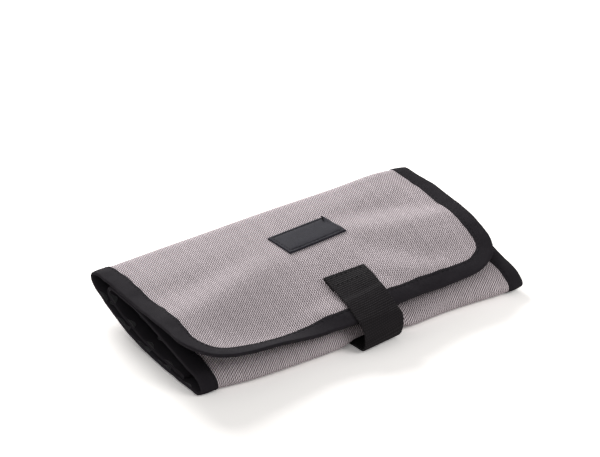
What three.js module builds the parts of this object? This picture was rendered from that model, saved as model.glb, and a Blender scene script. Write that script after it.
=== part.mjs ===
// Pencil roll: a sewn fabric case, folded flat in four layers and held shut by a webbing strap.
// Millimetres, +Z up. X runs along the pencils and -Y points at the front fold, which the flap covers.
// The cloth is one long strip. From the flap's free edge it runs back over the top, round the back fold,
// forward along the bottom, up round the front fold, back under the flap as the middle panel, and
// round the inner fold, and it ends as the inner panel, which lies on the bottom one.
import * as THREE from "three";
import { mergeVertices } from "three/addons/utils/BufferGeometryUtils.js";

// Roll
const rollLength = 218; // along X, over the binding
const halfLength = rollLength / 2;
const backNose = 122.5; // Y of the back fold's nose, over the binding; the front fold's nose is at 0
const flapEdge = 2; // Y of the flap's free edge
const flapCorner = 28; // radius of the flap's two corners
const innerEnd = 20; // Y where the inner panel ends

// Cloth
const shellCloth = 0.7; // woven outer cloth
const liningCloth = 0.4;
const tape = 0.4; // edge binding, one layer
const tapeWidth = 11; // how far the binding covers each face
const clothGap = 0.1; // between two layers that are sewn together
const plyGap = 0.3; // between two layers that only lie on each other
const seamGap = 0.3; // between two stretches of one strip
const plies = shellCloth + clothGap + liningCloth;
const bindingOver = tape + clothGap; // how far the binding stands over the cloth
const ply = plies + 2 * bindingOver + plyGap; // pitch of two panels that lie on each other

// Folds: how far each nose reaches past the ends of the two panels that it joins
const backFoldNose = backNose - bindingOver;
const backFoldTop = backNose - 10.5; // Y where the flap ends
const backFoldBottom = backNose - 9.5; // Y where the bottom panel ends
const frontFoldNose = bindingOver;
const frontFoldBottom = 12;
const frontFoldTop = 14;
const innerFoldNose = backNose - 17.5;
const innerFoldTop = innerFoldNose - 7;
const innerFoldBottom = innerFoldNose - 8;

// Heights of the outer cloth's outer face
const noseTop = 12.8; // middle panel, over the front fold
const middleTop = 21.8; // middle panel, over the inner fold
const middleFrom = 10; // the two Y between which it climbs
const middleTo = innerFoldTop - 13;
const flapTop = middleTop + ply; // flap, at the back fold
const flapCrown = 0.7;
const flapDrop = 6; // how far the flap's free edge hangs below its top
const dropLength = 32;
const flapTilt = 0.75; // how much higher its right end lies, and how much lower its left end
const flapSkew = THREE.MathUtils.degToRad(2.5); // how far the flap is folded askew
const bottomStart = bindingOver; // bottom panel, where its binding lies on the table
const riseFrom = 40; // Y where it starts to leave the table
const riseEnd = backFoldBottom + 2;
const backFoldHeight = 10.3;
const bottomRise = flapTop - backFoldHeight; // how far it has left the table at the rise's end
const risePower = 2.2;

// Strap: 25 mm webbing, sewn on the flap, passed round the front fold and fastened under the roll
const strapWidth = 25;
const strapCentre = 6; // X
const webbing = 1.4;
const hemLength = 9; // the sewn end is turned under
const anchorLength = 33;
const strapGap = 0.25; // between the strap and the cloth
const strapReach = 47; // Y of its tip, under the roll
const strapFloor = 0.15; // its underside over the table
const bulge = 9.8; // how far it stands out in front of the front fold
const bulgeHeight = 7.5;
const bendLength = 9; // along Y, of the bend under the front fold
const fastener = 0.8; // hook tape and loop tape, each
const fastenerGap = 0.1;
const hookFrom = 12;
const loopFrom = 7;
const loopLength = 58;

// The bottom panel is lifted where the strap and its fastener lie under it
const strapStack = strapFloor + webbing + 2 * fastener + 3 * fastenerGap;
const strapLift = strapStack - bottomStart;
const liftFlat = 15; // half width of the lifted stretch, and where the lift has faded out
const liftFade = 36;
const liftEnd = loopFrom + loopLength + 1; // Y where the lift starts to fade
const liftTail = 22;

// Label: an unmarked leather-look patch
const labelLength = 39;
const labelWidth = 21.5;
const labelCloth = 1.1;
const labelX = 15.5;
const labelY = 84;
const labelTurn = THREE.MathUtils.degToRad(-3);

// Pencil loops: elastic bands sewn down at even steps across the lining, as many as there is room for
const bandWidth = 16;
const bandX = 52; // centre of each band, left and right of the middle
const bandCloth = 0.6;
const bandGap = 0.25;
const loopHeight = 1.9;
const loopStep = 11;
const middleLoopsFrom = 30;
const middleLoops = Math.floor((innerFoldTop - 8 - middleLoopsFrom) / loopStep);
const innerLoopsFrom = innerEnd + tapeWidth + 3;
const innerLoops = Math.floor((innerFoldBottom - 5 - innerLoopsFrom) / loopStep);

const clamp01 = (t) => Math.min(Math.max(t, 0), 1);
const smooth = (t) => clamp01(t) ** 2 * (3 - 2 * clamp01(t));
const steps = (from, to, count) =>
  Array.from({ length: count + 1 }, (_, i) => from + ((to - from) * i) / count);

// Heights of the four panels over the table
const liftAt = (x, y) =>
  strapLift *
  (1 - smooth((Math.abs(x - strapCentre) - liftFlat) / (liftFade - liftFlat))) *
  (1 - smooth((y - liftEnd) / liftTail));
const bottomAt = (x, y) =>
  bottomStart +
  bottomRise * Math.max(0, (y - riseFrom) / (riseEnd - riseFrom)) ** risePower +
  liftAt(x, y);
const innerAt = (x, y) => bottomAt(x, y) + ply;
const middleAt = (x, y) =>
  noseTop + (middleTop - noseTop) * smooth((y - middleFrom) / (middleTo - middleFrom));
const flapLength = backFoldTop - flapEdge;
// The flap is described on the flat: a is the place across it, b the distance from its fold.
const flapPoint = (a, b) => {
  const share = b / flapLength;
  const skew = Math.tan(flapSkew) * share;
  const drop = Math.max(0, (b - flapLength + dropLength) / dropLength);
  return {
    x: a - skew * b,
    y: backFoldTop - b + skew * a,
    z:
      flapTop +
      flapCrown * Math.sin(Math.PI * clamp01(share)) +
      flapTilt * (a / halfLength) * share -
      flapDrop * drop ** 2,
  };
};

// A fold is a cubic curve from one panel's end to the next one's start, with both ends running on
// along their panels. A cubic with equal handles reaches 3/4 of a handle past its ends.
const slopeOf = (height, x, y) => height(x, y + 0.5) - height(x, y - 0.5);
function foldCurve(x, from, to, nose, sign) {
  const handle = Math.abs(nose - (from.y + to.y) / 2) / 0.75;
  const start = new THREE.Vector2(from.y, from.height(x, from.y));
  const end = new THREE.Vector2(to.y, to.height(x, to.y));
  const away = ({ y, height }) => new THREE.Vector2(sign, sign * slopeOf(height, x, y)).normalize();
  return new THREE.CubicBezierCurve(
    start,
    start.clone().addScaledVector(away(from), handle),
    end.clone().addScaledVector(away(to), handle),
    end,
  );
}

// A stretch of the strip: at(x, t) is the outer face's (y, z) at share t of the stretch.
const panel = (height, from, to) => ({
  at: (x, t) => {
    const y = from + (to - from) * t;
    return new THREE.Vector2(y, height(x, y));
  },
});
const fold = (from, to, nose, sign) => ({
  at: (x, t) => foldCurve(x, from, to, nose, sign).getPoint(t),
});
const flapAt = (x, y) => flapPoint(x, backFoldTop - y).z;
const stretches = {
  back_fold: fold(
    { y: backFoldTop, height: flapAt },
    { y: backFoldBottom, height: bottomAt },
    backFoldNose,
    1,
  ),
  bottom: panel(bottomAt, backFoldBottom, frontFoldBottom),
  front_fold: fold(
    { y: frontFoldBottom, height: bottomAt },
    { y: frontFoldTop, height: middleAt },
    frontFoldNose,
    -1,
  ),
  middle: panel(middleAt, frontFoldTop, innerFoldTop),
  inner_fold: fold(
    { y: innerFoldTop, height: middleAt },
    { y: innerFoldBottom, height: innerAt },
    innerFoldNose,
    1,
  ),
  inner: panel(innerAt, innerFoldBottom, innerEnd),
};

// The point at share t of a stretch, a distance out of its outer face (in, where it is negative).
function clothPoint(stretch, x, t, out) {
  const ahead = stretch.at(x, t + 1e-3);
  const behind = stretch.at(x, t - 1e-3);
  const run = ahead.sub(behind).normalize();
  const p = stretch.at(x, t);
  return new THREE.Vector3(x, p.x - run.y * out, p.y + run.x * out);
}

// A point of the flap, a distance out of its outer face.
function flapCloth(a, b, out) {
  const p = flapPoint(a, b);
  const ahead = flapPoint(a, b + 0.5);
  const behind = flapPoint(a, b - 0.5);
  const run = new THREE.Vector2(behind.y - ahead.y, behind.z - ahead.z).normalize();
  return new THREE.Vector3(p.x, p.y - run.y * out, p.z + run.x * out);
}

// How much further right a place at the flap's edge lies on the flat than on the folded flap
const flapShift = Math.tan(flapSkew) * flapLength;

// A closed solid between two grids of points, which its rims join.
function slab(face, back) {
  const rows = face.length;
  const columns = face[0].length;
  const points = [...face.flat(), ...back.flat()];
  const at = (side, i, j) => side * rows * columns + i * columns + j;
  const triangles = [];
  const quad = (p, q, r, s) => triangles.push(p, q, r, p, r, s);
  for (let i = 0; i + 1 < rows; i++)
    for (let j = 0; j + 1 < columns; j++) {
      quad(at(0, i, j), at(0, i, j + 1), at(0, i + 1, j + 1), at(0, i + 1, j));
      quad(at(1, i, j), at(1, i + 1, j), at(1, i + 1, j + 1), at(1, i, j + 1));
    }
  for (let i = 0; i + 1 < rows; i++) {
    quad(at(0, i, 0), at(0, i + 1, 0), at(1, i + 1, 0), at(1, i, 0));
    const last = columns - 1;
    quad(at(0, i + 1, last), at(0, i, last), at(1, i, last), at(1, i + 1, last));
  }
  for (let j = 0; j + 1 < columns; j++) {
    quad(at(0, 0, j + 1), at(0, 0, j), at(1, 0, j), at(1, 0, j + 1));
    const last = rows - 1;
    quad(at(0, last, j), at(0, last, j + 1), at(1, last, j + 1), at(1, last, j));
  }
  const geometry = new THREE.BufferGeometry().setFromPoints(points);
  geometry.setIndex(facingOut(points, triangles) ? triangles : triangles.reverse());
  return mergeVertices(geometry, 1e-4);
}

// Whether a closed list of triangles encloses a positive volume.
function facingOut(points, triangles) {
  let volume = 0;
  for (let i = 0; i < triangles.length; i += 3) {
    const [p, q, r] = [0, 1, 2].map((k) => points[triangles[i + k]]);
    volume += p.dot(new THREE.Vector3().crossVectors(q, r));
  }
  return volume > 0;
}

const finish = {
  shell: new THREE.MeshStandardMaterial({ color: 0x9c9294, roughness: 0.85, metalness: 0 }),
  lining: new THREE.MeshStandardMaterial({ color: 0x17171b, roughness: 0.8, metalness: 0 }),
  tape: new THREE.MeshStandardMaterial({ color: 0x232325, roughness: 0.75, metalness: 0 }),
  webbing: new THREE.MeshStandardMaterial({ color: 0x1b1b1c, roughness: 0.8, metalness: 0 }),
  label: new THREE.MeshStandardMaterial({ color: 0x2c2d35, roughness: 0.5, metalness: 0 }),
  elastic: new THREE.MeshStandardMaterial({ color: 0x1d1d20, roughness: 0.85, metalness: 0 }),
  fastener: new THREE.MeshStandardMaterial({ color: 0x161616, roughness: 0.95, metalness: 0 }),
};
const roll = new THREE.Group();
function add(name, geometry, material) {
  const mesh = new THREE.Mesh(geometry, material);
  mesh.name = name;
  roll.add(mesh);
}

// Layers of the cloth, each as how far its two faces lie out of the outer face
const shellLayer = [0, -shellCloth];
const liningLayer = [-shellCloth - clothGap, -plies];
// The binding across the cloth's edge: from its rim on the outer face, round the edge, to the inner one
const clothEdge = bindingOver; // how far the cloth's edge lies inside the binding's
const bindingSection = (over, edge, insets) => [
  ...insets.map((inward) => [Math.max(inward, edge), over]),
  ...insets.toReversed().map((inward) => [Math.max(inward, edge), -plies - over]),
];
const straightInsets = [tapeWidth, 0];
const flapInsets = [tapeWidth, 0.67 * tapeWidth, 0.33 * tapeWidth, 0];
const bindingFaces = (insets) => [
  bindingSection(bindingOver, 0, insets),
  bindingSection(clothGap, tape, insets),
];

// How many steps each stretch is cut in along the strip, and across it
const alongStretch = { back_fold: 8, bottom: 16, front_fold: 8, middle: 14, inner_fold: 8, inner: 13 };
const acrossEven = steps(-halfLength + clothEdge, halfLength - clothEdge, 1);
const acrossLift = [-liftFade, -0.7 * liftFade, -0.5 * liftFade, -liftFlat, liftFlat]
  .concat([0.5 * liftFade, 0.7 * liftFade, liftFade])
  .map((x) => x + strapCentre);
const acrossBottom = [acrossEven[0], ...acrossLift, acrossEven[1]];
const across = {
  back_fold: acrossEven,
  bottom: acrossBottom,
  front_fold: acrossBottom,
  middle: acrossEven,
  inner_fold: acrossEven,
  inner: acrossBottom,
};

// Shares of a stretch, with its two ends drawn in by half a seam gap
function sharesOf(name) {
  const stretch = stretches[name];
  const count = alongStretch[name];
  let length = 0;
  for (const t of steps(0, 1, 20).slice(1))
    length += stretch.at(0, t).distanceTo(stretch.at(0, t - 0.05));
  const inset = seamGap / 2 / length;
  return steps(inset, 1 - inset, count);
}

for (const name of Object.keys(stretches)) {
  const stretch = stretches[name];
  const shares = sharesOf(name);
  const layer = (outs) =>
    outs.map((out) => shares.map((t) => across[name].map((x) => clothPoint(stretch, x, t, out))));
  add(`${name}_shell`, slab(...layer(shellLayer)), finish.shell);
  add(`${name}_lining`, slab(...layer(liningLayer)), finish.lining);
  for (const [side, sign] of [["left", -1], ["right", 1]]) {
    const wrap = (section) =>
      shares.map((t) =>
        section.map(([inward, out]) =>
          clothPoint(stretch, sign * (halfLength - inward), t, out),
        ),
      );
    add(`${name}_binding_${side}`, slab(...bindingFaces(straightInsets).map(wrap)), finish.tape);
  }
}

// The inner panel's free end has its own binding, between the two side bindings
{
  const stretch = stretches.inner;
  const perLength = 1 / (innerFoldBottom - innerEnd);
  const xs = acrossBottom.slice(1, -1);
  const reach = halfLength - tapeWidth - seamGap;
  const stations = [-reach, ...xs, reach];
  const wrap = (section) =>
    stations.map((x) =>
      section.map(([inward, out]) =>
        clothPoint(stretch, x, 1 + (clothEdge - inward) * perLength, out),
      ),
    );
  add("inner_end_binding", slab(...bindingFaces(straightInsets).map(wrap)), finish.tape);
}

// The flap's outline on the flat, drawn in by a distance: its rows run from the free edge to the fold.
function flapRows(inset) {
  const radius = flapCorner - inset;
  const width = halfLength - inset;
  const arc = steps(0, Math.PI / 2, 6).map((angle) => ({
    b: flapLength - inset - radius * (1 - Math.cos(angle)),
    half: width - radius * (1 - Math.sin(angle)),
  }));
  const cornerEnd = arc[arc.length - 1].b;
  const rest = steps(cornerEnd, seamGap / 2, 10).slice(1);
  return [...arc, ...rest.map((b) => ({ b, half: width }))];
}
const flapLayer = (outs) =>
  outs.map((out) =>
    flapRows(clothEdge).map(({ b, half }) => steps(-half, half, 4).map((a) => flapCloth(a, b, out))),
  );
add("flap_shell", slab(...flapLayer(shellLayer)), finish.shell);
add("flap_lining", slab(...flapLayer(liningLayer)), finish.lining);
{
  // One tape round the flap: up its left side, round the corner, along the free edge and back.
  const rim = (inset) => {
    const rows = flapRows(inset);
    const side = (sign) => rows.map(({ b, half }) => [sign * half, b]);
    return [...side(-1).reverse(), ...side(1)];
  };
  const wrap = (section) => {
    const lines = section.map(([inward, out]) => rim(inward).map(([a, b]) => flapCloth(a, b, out)));
    return lines[0].map((_, i) => lines.map((line) => line[i]));
  };
  add("flap_binding", slab(...bindingFaces(flapInsets).map(wrap)), finish.tape);
}

// Label: its length and width run from its own middle, turned on the flap
{
  const middle = new THREE.Vector2(labelX, backFoldTop - labelY);
  const grid = (out) =>
    steps(-labelWidth / 2, labelWidth / 2, 4).map((q) =>
      steps(-labelLength / 2, labelLength / 2, 4).map((p) => {
        const at = new THREE.Vector2(p, q).rotateAround(new THREE.Vector2(), labelTurn).add(middle);
        return flapCloth(at.x, at.y, out);
      }),
    );
  add("label_patch", slab(grid(strapGap + labelCloth), grid(strapGap)), finish.label);
}

// Strap: a line along its outer face, from the end that is sewn on the flap, over the flap's edge and
// down in front of the front fold, round under it and back beneath the roll. It is cut in three at the
// middles of its two bends, where it folds when it is opened.
const anchorStart = flapLength - anchorLength;
const strapX = [strapCentre - strapWidth / 2, strapCentre + strapWidth / 2];
const strapOver = (b) => strapGap + bindingOver * smooth((b - (flapLength - tapeWidth - 6)) / 4);
const strapFace = (a, b) => flapCloth(a, b, strapOver(b) + webbing);
const flapEdgePoint = strapFace(strapCentre + flapShift, flapLength);
const flapRun = flapEdgePoint.clone().sub(strapFace(strapCentre + flapShift, flapLength - 1)).normalize();
const pastEdge = flapEdgePoint.clone().addScaledVector(flapRun, 0.7 * bulge);
const topBend = new THREE.CubicBezierCurve(
  new THREE.Vector2(flapEdgePoint.y, flapEdgePoint.z),
  new THREE.Vector2(pastEdge.y, pastEdge.z),
  new THREE.Vector2(-bulge, bulgeHeight + 0.4 * (flapEdgePoint.z - bulgeHeight)),
  new THREE.Vector2(-bulge, bulgeHeight),
);
const lowerBend = new THREE.CubicBezierCurve(
  new THREE.Vector2(-bulge, bulgeHeight),
  new THREE.Vector2(-bulge, strapFloor + 0.35 * bulgeHeight),
  new THREE.Vector2(-bulge + 0.25 * bendLength, strapFloor),
  new THREE.Vector2(-bulge + bendLength, strapFloor),
);
const tipRun = new THREE.LineCurve(lowerBend.v3, new THREE.Vector2(strapReach, strapFloor));
const cut = 0.02; // share of a bend that each side of a cut leaves free
const along = (curve, from, to, count) =>
  steps(from, to, count).map((t) => ({ p: curve.getPoint(t), run: curve.getTangent(t) }));
const ribbonRows = (points, depth) =>
  points.map(({ p, run }) =>
    strapX.map((x) => new THREE.Vector3(x, p.x - run.y * depth, p.y + run.x * depth)),
  );
const ribbon = (points) => slab(ribbonRows(points, 0), ribbonRows(points, webbing));
{
  // On the flap the strap is turned with it, so its two edges are places across the flap.
  const edges = strapX.map((x) => x + flapShift);
  const hem = (b) => webbing * (1 - smooth((b - anchorStart - hemLength) / 3));
  const bs = [
    ...steps(anchorStart, anchorStart + hemLength + 4, 3),
    ...steps(flapLength - tapeWidth - 7, flapLength - 0.5, 4),
  ];
  const onFlap = (over) => bs.map((b) => edges.map((a) => flapCloth(a, b, strapOver(b) + over(b))));
  const past = along(topBend, 0.04, 0.5 - cut, 5);
  add(
    "strap_anchor",
    slab(
      [...onFlap((b) => webbing + hem(b)), ...ribbonRows(past, 0)],
      [...onFlap(() => 0), ...ribbonRows(past, webbing)],
    ),
    finish.webbing,
  );
}
add(
  "strap_front",
  ribbon([...along(topBend, 0.5 + cut, 1, 5), ...along(lowerBend, 0.1, 0.5 - cut, 4)]),
  finish.webbing,
);
add(
  "strap_tip",
  ribbon([...along(lowerBend, 0.5 + cut, 1, 5), ...along(tipRun, 0.3, 1, 2)]),
  finish.webbing,
);

// Fastener: hook tape on the strap's tip, and loop tape that follows the bottom panel over it
const fastenerX = [strapX[0] + 1, strapX[1] - 1];
{
  const hookLength = strapReach - 1 - hookFrom;
  const hook = new THREE.BoxGeometry(fastenerX[1] - fastenerX[0], hookLength, fastener);
  const hookZ = strapFloor + webbing + fastenerGap + fastener / 2;
  add("hook_tape", hook.translate(strapCentre, hookFrom + hookLength / 2, hookZ), finish.fastener);
  const ys = [...steps(loopFrom, riseFrom, 2), ...steps(riseFrom, loopFrom + loopLength, 5).slice(1)];
  const grid = (down) =>
    ys.map((y) => fastenerX.map((x) => new THREE.Vector3(x, y, bottomAt(x, y) - down)));
  add("loop_tape", slab(grid(fastenerGap), grid(fastenerGap + fastener)), finish.fastener);
}

// Pencil loops: a band that touches the lining at each seam and arches over one pencil between two
function loopBand(stretch, ends, start, loops, x) {
  const [from, to] = ends;
  const ys = steps(start, start + Math.sign(to - from) * loops * loopStep, loops * 4);
  const xs = [x - bandWidth / 2, x + bandWidth / 2];
  const arch = (i) => loopHeight * Math.sin((Math.PI * i) / 4) ** 2;
  const grid = (over) =>
    ys.map((y, i) =>
      xs.map((at) =>
        clothPoint(stretch, at, (y - from) / (to - from), -plies - bandGap - over - arch(i)),
      ),
    );
  return slab(grid(0), grid(bandCloth));
}
for (const [side, sign] of [["left", -1], ["right", 1]]) {
  const onMiddle = [stretches.middle, [frontFoldTop, innerFoldTop], middleLoopsFrom, middleLoops];
  add(`middle_loops_${side}`, loopBand(...onMiddle, sign * bandX), finish.elastic);
  const innerLoopsTo = innerLoopsFrom + innerLoops * loopStep;
  const onInner = [stretches.inner, [innerFoldBottom, innerEnd], innerLoopsTo, innerLoops];
  add(`inner_loops_${side}`, loopBand(...onInner, sign * bandX), finish.elastic);
}

// The frame's origin is the middle of the object's underside
const box = new THREE.Box3().setFromObject(roll);
const centre = box.getCenter(new THREE.Vector3());
roll.position.set(-centre.x, -centre.y, -box.min.z);

export default roll;
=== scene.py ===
# %% [markdown]
# # A folded pencil roll
# The real roll is one long strip of heavy woven cloth with a thin black lining behind it. It is folded
# three times, its raw edges are wrapped in black tape, and the last panel comes forward over the top as
# a flap with round corners. A webbing strap holds it shut. This file builds the looks around the packed
# model: every piece is a sheet that follows the same folded strip, so the layers fit by themselves.

import math

import bpy
import numpy as np
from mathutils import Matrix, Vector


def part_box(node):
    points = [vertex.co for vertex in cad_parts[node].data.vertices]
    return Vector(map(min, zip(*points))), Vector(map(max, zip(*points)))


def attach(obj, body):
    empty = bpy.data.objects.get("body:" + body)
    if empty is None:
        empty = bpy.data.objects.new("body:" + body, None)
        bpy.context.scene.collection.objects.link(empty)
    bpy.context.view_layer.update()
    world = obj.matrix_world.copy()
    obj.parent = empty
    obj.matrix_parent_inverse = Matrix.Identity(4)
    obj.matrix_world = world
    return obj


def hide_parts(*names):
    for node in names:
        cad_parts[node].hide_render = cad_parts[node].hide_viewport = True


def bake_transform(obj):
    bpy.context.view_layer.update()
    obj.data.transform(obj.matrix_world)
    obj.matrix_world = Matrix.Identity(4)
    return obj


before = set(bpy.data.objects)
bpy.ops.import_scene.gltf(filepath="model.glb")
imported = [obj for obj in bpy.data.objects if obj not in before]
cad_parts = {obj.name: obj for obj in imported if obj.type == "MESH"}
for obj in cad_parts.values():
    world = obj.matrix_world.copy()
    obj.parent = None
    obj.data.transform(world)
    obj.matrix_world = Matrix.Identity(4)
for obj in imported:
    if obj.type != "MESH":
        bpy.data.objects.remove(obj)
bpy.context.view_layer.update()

# %% [markdown]
# ## Millimetres on the roll
# Sewing is measured in millimetres, so the shapes below are too. X runs along the pencils from the
# roll's middle, Y runs back from the front fold's nose, and Z goes up from the table. Where that
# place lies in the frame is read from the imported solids, and one function turns points into metres.

# %% Place the roll in the frame
MM = 0.001
tape_over = 0.5  # how far the edge tape stands over the cloth
left_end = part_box("bottom_binding_left")[0].x
right_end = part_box("bottom_binding_right")[1].x
half_length = (right_end - left_end) / 2 / MM
origin = np.array([(left_end + right_end) / 2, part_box("front_fold_shell")[0].y - tape_over * MM, 0])
print("half length", round(half_length, 2), "mm, origin", origin.round(5))


def in_metres(points):
    """Points on the roll in millimetres, scaled to metres and moved to the roll's origin in the frame."""
    return np.asarray(points) * MM + origin


# %% [markdown]
# ## Camera
# The photograph was taken from far away with a long lens, a little above and to the left. The camera
# stands on the line through the roll's middle, and aims beside it so that the middle falls on the
# pixel where the photograph has it. Aiming is better than a lens shift, which other views would keep.

# %% Camera
picture_width = 600
pixels_per_mm = 1.73  # at the roll's middle
middle_pixel = np.array([310.8, 283.6])
picture_middle = np.array([300.0, 228.5])
view_turn, view_down = math.radians(33), math.radians(31)
camera_distance = 2.9
looked_at = np.array([0.0, 0.0, 0.012])
sensor = 36.0

view = np.array([math.sin(view_turn) * math.cos(view_down),
                 math.cos(view_turn) * math.cos(view_down), -math.sin(view_down)])
view_right = np.cross(view, [0, 0, 1]) / math.cos(view_down)
view_up = np.cross(view_right, view)
aside, above = (picture_middle - middle_pixel) / pixels_per_mm * MM
camera_place = looked_at - camera_distance * view
aim = looked_at + aside * view_right - above * view_up - camera_place

camera = bpy.data.objects.new("camera", bpy.data.cameras.new("camera"))
bpy.context.scene.collection.objects.link(camera)
camera.location = camera_place
camera.rotation_euler = Vector(aim).to_track_quat("-Z", "Y").to_euler()
camera.data.sensor_width = sensor
camera.data.lens = pixels_per_mm / MM * camera_distance / picture_width * sensor
camera.data.clip_end = 50
bpy.context.scene.camera = camera
print("lens", round(camera.data.lens, 1), "mm")

# %% [markdown]
# ## Floor and light
# A studio table with no edge: the floor is white and large, and the camera sees it brighter than it is,
# so that it reads as pure white while the roll's soft shadow still shows on it. Far out, where the
# lamps no longer reach, it glows a little, so no grey horizon shows from a low angle. The light is
# a dim white room and three soft round lamps. The strong one stands low behind the roll, so every
# slope that faces forward is darker. A weak one in front to the right keeps the front fold from going
# black, and one low on the left shines into the open end. Lamps in all directions were tried one by
# one against the photograph to find these.

# %% Floor
def add_node(tree, kind, **values):
    """A new node with its sockets set, written with _ for a space."""
    node = tree.nodes.new(kind)
    for name, value in values.items():
        node.inputs[name.replace("_", " ")].default_value = value
    return node


def camera_sees(tree, end, lit, seen):
    """Ends a node tree: the camera sees one shader, and all the light another. A mix node picks it by
    whether a ray comes from the camera."""
    ray = add_node(tree, "ShaderNodeLightPath")
    choose = add_node(tree, "ShaderNodeMixShader")
    tree.links.new(ray.outputs["Is Camera Ray"], choose.inputs["Fac"])
    tree.links.new(lit.outputs[0], choose.inputs[1])
    tree.links.new(seen.outputs[0], choose.inputs[2])
    tree.links.new(choose.outputs[0], add_node(tree, end).inputs["Surface"])


floor_side = 4.0
lit_white, seen_white = (0.89, 0.865, 0.84, 1), (1.49, 1.45, 1.41, 1)
glow_range = {"From_Min": 0.3, "From_Max": 1.2, "To_Min": 0.1, "To_Max": 0.6}  # metres out, and strength

floor_mesh = bpy.data.meshes.new("floor")
floor_corners = [(floor_side * x, floor_side * y, 0) for x, y in ((-1, -1), (1, -1), (1, 1), (-1, 1))]
floor_mesh.from_pydata(floor_corners, [], [(0, 1, 2, 3)])
floor = bpy.data.objects.new("floor", floor_mesh)
bpy.context.scene.collection.objects.link(floor)

floor_paint = bpy.data.materials.new("white_floor")
floor_paint.use_nodes = True
tree = floor_paint.node_tree
tree.nodes.clear()
from_middle = add_node(tree, "ShaderNodeVectorMath")
from_middle.operation = "LENGTH"
far = add_node(tree, "ShaderNodeMapRange", **glow_range)
glow = add_node(tree, "ShaderNodeEmission")
bright = add_node(tree, "ShaderNodeAddShader")
seen_paint = add_node(tree, "ShaderNodeBsdfDiffuse", Color=seen_white)
tree.links.new(add_node(tree, "ShaderNodeTexCoord").outputs["Object"], from_middle.inputs[0])
tree.links.new(from_middle.outputs["Value"], far.inputs["Value"])
tree.links.new(far.outputs["Result"], glow.inputs["Strength"])
tree.links.new(seen_paint.outputs[0], bright.inputs[0])
tree.links.new(glow.outputs[0], bright.inputs[1])
lit_paint = add_node(tree, "ShaderNodeBsdfDiffuse", Color=lit_white)
camera_sees(tree, "ShaderNodeOutputMaterial", lit_paint, bright)
floor_mesh.materials.append(floor_paint)
print("floor", 2 * floor_side, "m wide")

# %% Light
white = (1, 1, 1, 1)
world = bpy.data.worlds.new("white_room")
bpy.context.scene.world = world
world.use_nodes = True
tree = world.node_tree
tree.nodes.clear()
room = add_node(tree, "ShaderNodeBackground", Color=white, Strength=0.3)
backdrop = add_node(tree, "ShaderNodeBackground", Color=white, Strength=1.0)
camera_sees(tree, "ShaderNodeOutputWorld", room, backdrop)


def soft_lamp(name, turn, up, strength, away=0.6, width=0.3):
    """A round lamp away metres from the roll, turn degrees round from +X and up degrees above the
    table. At strength 1, which takes pi squared times away squared watts, it would light a white
    surface that faces it to exactly white."""
    turn, up = math.radians(turn), math.radians(up)
    toward = np.array([math.cos(turn) * math.cos(up), math.sin(turn) * math.cos(up), math.sin(up)])
    lamp = bpy.data.objects.new(name, bpy.data.lights.new(name, "AREA"))
    lamp.data.shape = "DISK"
    lamp.data.size = width
    lamp.data.energy = strength * (math.pi * away) ** 2
    lamp.location = away * toward
    lamp.rotation_euler = Vector(-toward).to_track_quat("-Z", "Y").to_euler()
    lamp.visible_camera = False
    bpy.context.scene.collection.objects.link(lamp)
    print(name, "of", round(lamp.data.energy, 2), "W")


soft_lamp("back_lamp", 82, 26, 1.19, away=0.8, width=0.4)
soft_lamp("front_lamp", -54, 34, 0.3)
soft_lamp("left_lamp", 184, 8, 0.24)
bpy.context.scene.view_settings.view_transform = "Standard"

# %% [markdown]
# ## Making meshes from arrays
# Every piece is a pair of grids of points, one for each face of a layer. A slab joins them at their
# rims, so cloth, tape, webbing and leather all come from one function. The map coordinates are real
# lengths along the material, so that a weave keeps its size wherever the sheet bends.

# %% Mesh helpers
def ramp(x, start=0.0, over=1.0):
    """A smooth step: 0 up to start, 1 from start + over on, and t squared times (3 minus 2 t) between
    them, where t is the share of the way."""
    t = np.clip((x - start) / over, 0, 1)
    return t * t * (3 - 2 * t)


def bell(t):
    """1 at t = 0, falling off to both sides as e to the power minus t squared."""
    return np.exp(-np.square(t))


def spread(*parts):
    """Arrays or numbers as arrays of one shape, each repeated along the others' rows and columns."""
    return np.broadcast_arrays(*(np.asarray(part, float) for part in parts))


def stacked(*parts):
    """Coordinates, spread over one another and stacked as points."""
    return np.stack(spread(*parts), -1)


def volume(points, quads):
    """Six times the volume that the faces enclose: the sum of each triangle's triple product."""
    p, q, r, s = (points[quads[:, k]] for k in range(4))
    return float((p * np.cross(q, r)).sum() + (p * np.cross(r, s)).sum())


def make_piece(name, points, quads, lengths, material, crease=40):
    """A mesh object from points in millimetres on the roll, four-sided faces, and one pair of
    lengths for each point as its map coordinates. Edges sharper than crease degrees stay sharp. The
    faces are turned round if they enclose less than nothing, so that they look outwards."""
    if volume(points, quads) < 0:
        quads = quads[:, ::-1]
    mesh = bpy.data.meshes.new(name)
    corners = np.ascontiguousarray(quads, np.int32).ravel()
    mesh.vertices.add(len(points))
    mesh.vertices.foreach_set("co", in_metres(points).astype(np.float32).ravel())
    mesh.loops.add(len(corners))
    mesh.loops.foreach_set("vertex_index", corners)
    mesh.polygons.add(len(quads))
    mesh.polygons.foreach_set("loop_start", np.arange(0, len(corners), 4, dtype=np.int32))
    mesh.update(calc_edges=True)
    mesh.validate()
    flat = mesh.uv_layers.new(name="cloth")
    flat.data.foreach_set("uv", (lengths * MM)[corners].astype(np.float32).ravel())
    mesh.polygons.foreach_set("use_smooth", np.ones(len(quads), bool))
    mesh.set_sharp_from_angle(angle=math.radians(crease))
    mesh.materials.append(material)
    piece = bpy.data.objects.new(name, mesh)
    bpy.context.scene.collection.objects.link(piece)
    return piece


def grid_quads(rows, columns, start=0):
    """The faces of a grid of rows times columns points, as indices of their corners."""
    at = start + np.arange(rows * columns).reshape(rows, columns)
    return np.stack([at[:-1, :-1], at[:-1, 1:], at[1:, 1:], at[1:, :-1]], -1).reshape(-1, 4)


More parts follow.
